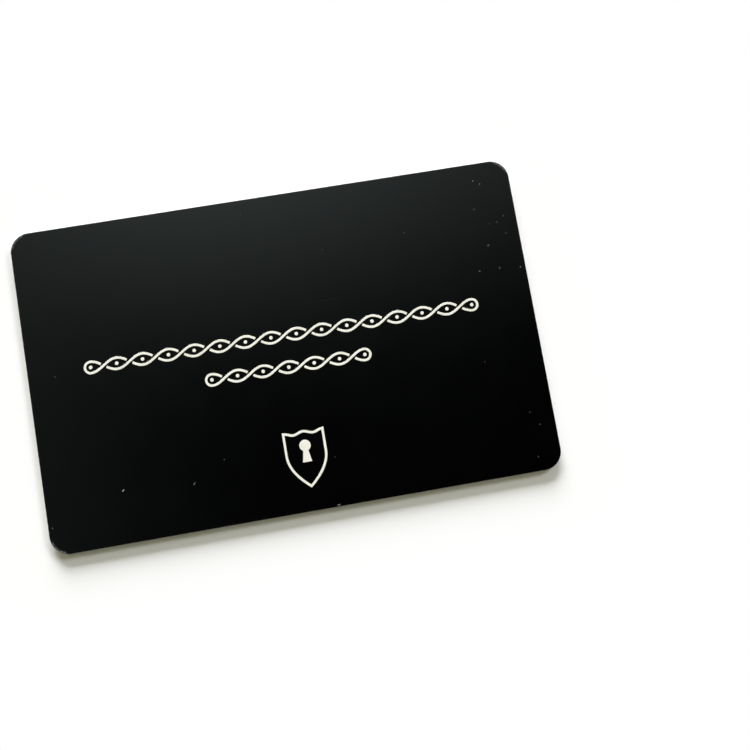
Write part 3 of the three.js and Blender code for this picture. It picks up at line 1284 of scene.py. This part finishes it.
@dataclass(frozen=True)
class ShieldFigure:
    """A plain shield with a keyhole in it.

    Attributes:
        name: The piece's name.
        middle: Where it is centred along the card.
        width: Its full width.
        top: Its highest point on the card.
        tip: Its lowest point.
        tip_rise: How far the line's middle stays over the tip, in line widths.
        waist: Where its sides start to draw in, as a share of its height.
        dip: How far its top edge dips on each side of the middle.
        steps: The steps along each of its curves.
        hole_drop: How far the keyhole lies under the middle of the upper part.
        hole_radius: The radius of the keyhole's round top.
        neck_deg: Half the angle of the round top that the slot opens.
        foot: Half the width of the slot's foot, and how far it lies under the round top's centre.
    """

    name: str = "shield_figure"
    middle: float = 0.55 * MM
    width: float = 7.0 * MM
    top: float = -13.3 * MM
    tip: float = -23.2 * MM
    tip_rise: float = 0.8
    waist: float = 0.40
    dip: float = 0.42 * MM
    steps: int = 32
    hole_drop: float = 0.55 * MM
    hole_radius: float = 0.95 * MM
    neck_deg: float = 28.0
    foot: tuple[float, float] = (0.78 * MM, 2.75 * MM)

    def draw(self, pen: InkPen) -> None:
        """Draws the shield's outline and the keyhole.

        Args:
            pen: The pen.
        """
        half = (self.width - pen.line) / 2
        top = self.top - pen.line
        tip = self.tip + pen.line * self.tip_rise
        waist = top + (tip - top) * self.waist
        right = []
        for step in range(self.steps):
            share = step / self.steps * (1.0 - pen.line / half)
            right.append(Vector((half * share, top - self.dip * math.sin(math.pi * share) ** 2)))
        right.append(Vector((half, top)))
        for step in range(self.steps + 1):
            share = step / self.steps
            right.append(Vector((half * (1 - share ** 2), waist + (tip - waist) * share)))
        left = [Vector((-point.x, point.y)) for point in reversed(right[1:-1])]
        middle = Vector((self.middle, 0.0))
        pen.stroke([middle + point for point in right + left], closed=True)
        pen.patch(self.keyhole(middle + Vector((0.0, (top + waist) / 2 - self.hole_drop))))

    def keyhole(self, centre: Vector) -> list[Vector]:
        """Draws a keyhole: a round top with a flared slot under it.

        Args:
            centre: The middle of its round top.

        Returns:
            Its outline, counter-clockwise.
        """
        neck = math.radians(self.neck_deg)
        round_top = arc(centre, self.hole_radius, neck - math.pi / 2, 2 * (math.pi - neck), self.steps)
        across, under = self.foot
        return round_top + [centre + Vector((-across, -under)), centre + Vector((across, -under))]


@dataclass
class InkPrint:
    """The cream print on the front: two rows of twisted band and a shield with a keyhole.

    Attributes:
        figures: What is printed, each as a piece of its own.
    """

    figures: tuple[TwistedBand | ShieldFigure, ...] = (
        TwistedBand("band_row_upper", 2.7 * MM, 15),
        TwistedBand("band_row_lower", -2.7 * MM, 6),
        ShieldFigure(),
    )

    def build(self) -> None:
        """Prints the figures on the front film."""
        ink = ScreenInk(
            name="cream_screen_ink", colour=(0.89, 0.88, 0.785), tone=(0.835, 0.82, 0.72), roughness=0.5
        )
        for figure in self.figures:
            pen = InkPen(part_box("front_overlay")[1].z)
            figure.draw(pen)
            new_piece(figure.name, pen.bm, ink)


@dataclass(frozen=True)
class PhotoCamera:
    """The photograph's viewpoint, almost straight over the card and a little turned.

    Attributes:
        eye: Where the camera stands.
        aim: The point on the card's face in the middle of the picture.
        roll_deg: How far the top of the picture turns from +Y towards +X.
        lens_mm: Its focal length.
        sensor_mm: The size of its square sensor.
        near: How close to it a thing still shows.
    """

    eye: tuple[float, float, float] = (6.42 * MM, -18.82 * MM, 140.53 * MM)
    aim: tuple[float, float, float] = (14.06 * MM, -6.42 * MM, 0.945 * MM)
    roll_deg: float = 9.816
    lens_mm: float = 40.0
    sensor_mm: float = 36.0
    near: float = 5.0 * MM

    def place(self) -> None:
        """Makes the camera and sets it as the scene's."""
        data = bpy.data.cameras.new("photo_camera")
        data.lens = self.lens_mm
        data.sensor_width = self.sensor_mm
        data.clip_start = self.near
        camera = link_object("photo_camera", data)
        eye = Vector(self.eye)
        forward = (Vector(self.aim) - eye).normalized()
        roll = math.radians(self.roll_deg)
        right = forward.cross(Vector((math.sin(roll), math.cos(roll), 0.0))).normalized()
        turn = Matrix((right, right.cross(forward), -forward)).transposed().to_4x4()
        camera.matrix_world = Matrix.Translation(eye) @ turn
        bpy.context.scene.camera = camera


@dataclass(frozen=True)
class Softbox:
    """A rectangular studio light that faces the card.

    Attributes:
        name: Its name.
        azimuth_deg: Where it stands, from +Y towards +X.
        elevation_deg: How high it stands over the floor.
        spread_deg: The angle that it fills along the floor.
        rise_deg: The angle that it fills up the slope.
        floor_share: The share of white that it gives a matt white floor under it.
        colour: Its colour.
        distance: How far it stands from the card.
    """

    name: str
    azimuth_deg: float
    elevation_deg: float
    spread_deg: float
    rise_deg: float
    floor_share: float
    colour: Colour = (0.985, 0.985, 1.055)
    distance: float = 9.0

    def across(self, angle_deg: float) -> float:
        """Gives the size that fills an angle at the light's distance."""
        return 2.0 * self.distance * math.tan(math.radians(angle_deg) / 2)

    def place(self) -> None:
        """Makes the light, which shows in no reflection because the ceiling gives the sheen."""
        azimuth, elevation = math.radians(self.azimuth_deg), math.radians(self.elevation_deg)
        data = bpy.data.lights.new(self.name, "AREA")
        data.shape = "RECTANGLE"
        data.size = self.across(self.spread_deg)
        data.size_y = self.across(self.rise_deg)
        data.color = self.colour
        data.energy = self.floor_share * (math.pi * self.distance) ** 2 / math.sin(elevation)
        light = link_object(self.name, data)
        way = Vector((
            math.sin(azimuth) * math.cos(elevation),
            math.cos(azimuth) * math.cos(elevation),
            math.sin(elevation),
        ))
        turn = (-way).to_track_quat("-Z", "Y").to_matrix().to_4x4()
        light.matrix_world = Matrix.Translation(way * self.distance) @ turn
        light.visible_camera = False
        light.visible_glossy = False


class Slope(NamedTuple):
    """One ramp of brightness in the surround, along one part of the direction."""

    axis: Axis
    ramp: Ramp


Patch = tuple[Slope, ...]


@dataclass
class Studio:
    """The pale floor, the soft lights and the white surround under a dark ceiling.

    The ceiling is lighter behind the card and, a little, on its left, and that gives the films their sheen.
    Each patch of the surround is a run of slopes that are multiplied.

    Attributes:
        lights: The softboxes.
        floor_colour: The floor's colour.
        floor_reach: Half the floor's size.
        shadow_reach: Within this distance of the card the floor shows only the light that falls on it.
        white_reach: Beyond this distance it shows as plain white.
        surround: How high the surround's light reaches over the floor.
        mirrored: How high it reaches in the gloss of the films.
        back_glow: The light patch of the ceiling behind the card.
        left_glow: The light patch on the left.
        glow_colour: The colour of both patches.
        fill_colour: What a surround of one gives matt surfaces as light.
    """

    lights: tuple[Softbox, ...] = (
        Softbox("back_softbox", 0.0, 15.0, 36.0, 19.0, 0.68),
        Softbox("side_softbox", 55.0, 31.0, 18.0, 14.0, 0.185),
    )
    floor_colour: Colour = (0.97, 0.97, 0.97)
    floor_reach: float = 6.0
    shadow_reach: float = 3.0 * MM
    white_reach: float = 12.0 * MM
    surround: Patch = (Slope(Axis.RISE, Ramp(0.37, 0.56, 1.0, 0.0)),)
    mirrored: Patch = (Slope(Axis.RISE, Ramp(0.07, 0.34, 1.0, 0.0)),)
    back_glow: Patch = (
        Slope(Axis.BACK, Ramp(0.10, 0.50, 0.0, 1.38)),
        Slope(Axis.BACK, Ramp(0.55, 0.85, 1.0, 0.3)),
        Slope(Axis.ACROSS, Ramp(-0.45, -0.12, 0.15, 1.0)),
        Slope(Axis.ACROSS, Ramp(-0.12, 0.45, 1.0, 0.35)),
    )
    left_glow: Patch = (Slope(Axis.ACROSS, Ramp(-0.55, -0.12, 0.27, 0.0)),)
    glow_colour: Colour = (0.87, 1.0, 0.97)
    fill_colour: Colour = (0.62, 0.615, 0.42)

    def build(self) -> None:
        """Sets up the floor, the lights and the surround."""
        self.floor()
        for softbox in self.lights:
            softbox.place()
        self.world()
        bpy.context.scene.view_settings.view_transform = "Standard"

    def floor(self) -> None:
        """Lays the floor under the card."""
        mesh = bpy.data.meshes.new("floor")
        reach = self.floor_reach
        corners = [(-reach, -reach, 0.0), (reach, -reach, 0.0), (reach, reach, 0.0), (-reach, reach, 0.0)]
        mesh.from_pydata(corners, [], [(0, 1, 2, 3)])
        mesh.materials.append(self.floor_material())
        floor = link_object("floor", mesh)

    def floor_material(self) -> bpy.types.Material:
        """Makes the floor's matt white, which turns to plain white away from the card.

        Returns:
            The material.
        """
        material = bpy.data.materials.new("pale_floor")
        bench = NodeBench.cleared(material)
        matt = bench.add("ShaderNodeBsdfDiffuse", {"Color": rgba(self.floor_colour)})[0]
        white = bench.add("ShaderNodeEmission", {"Color": rgba(WHITE), "Strength": 1.0})[0]
        where = bench.vector("ABSOLUTE", bench.add("ShaderNodeTexCoord")["Object"])
        half = tuple(max(abs(low), abs(high)) for low, high in zip(*CAD_BOX))
        past = bench.vector("MAXIMUM", bench.vector("SUBTRACT", where, half), (0.0, 0.0, 0.0))
        far = bench.ramp(bench.length(past), self.shadow_reach, self.white_reach)
        share = bench.math("MULTIPLY", far, bench.on_rays(*Ray))
        bench.add("ShaderNodeOutputMaterial", {"Surface": bench.blend(share, matt, white)})
        return material

    def world(self) -> None:
        """Makes the surround: a white backdrop that lights only from near the floor, and the two glows."""
        world = bpy.data.worlds.new("surround")
        bpy.context.scene.world = world
        bench = NodeBench.cleared(world)
        way = bench.parted(bench.add("ShaderNodeTexCoord")["Generated"])
        surround, mirrored, behind, left = (
            self.level(bench, way, patch)
            for patch in (self.surround, self.mirrored, self.back_glow, self.left_glow)
        )
        glow = bench.math("ADD", behind, left)
        sheen = bench.tint(mirrored, rgba(self.glow_colour), rgba(WHITE))
        light, gloss, backdrop = (
            bench.add("ShaderNodeBackground", {"Color": colour, "Strength": strength})[0]
            for colour, strength in (
                (rgba(self.fill_colour), bench.math("MAXIMUM", surround, glow)),
                (sheen, bench.math("MAXIMUM", mirrored, glow)),
                (rgba(WHITE), 1.0),
            )
        )
        lit = bench.blend(bench.on_rays(Ray.GLOSSY), light, gloss)
        seen = bench.blend(bench.on_rays(Ray.CAMERA, Ray.TRANSMISSION), lit, backdrop)
        bench.add("ShaderNodeOutputWorld", {"Surface": seen})

    @staticmethod
    def level(bench: NodeBench, way: Sockets, patch: Patch) -> Socket:
        """Multiplies the slopes of one patch of the surround.

        Args:
            bench: The world's bench.
            way: The three parts of the direction.
            patch: The patch's slopes.

        Returns:
            The patch's brightness.
        """
        level, *others = (bench.ramp(way[slope.axis.value], *slope.ramp) for slope in patch)
        for other in others:
            level = bench.math("MULTIPLY", level, other)
        return level


def main() -> None:
    """Builds the card's looks around the frame, then the studio and the camera."""
    logging.basicConfig(level=logging.INFO, format="%(name)s: %(message)s")
    Laminate(CardOutline.of_node("front_overlay")).build()
    TagCircuit().build()
    InkPrint().build()
    Studio().build()
    PhotoCamera().place()


if __name__ == "__main__":
    main()
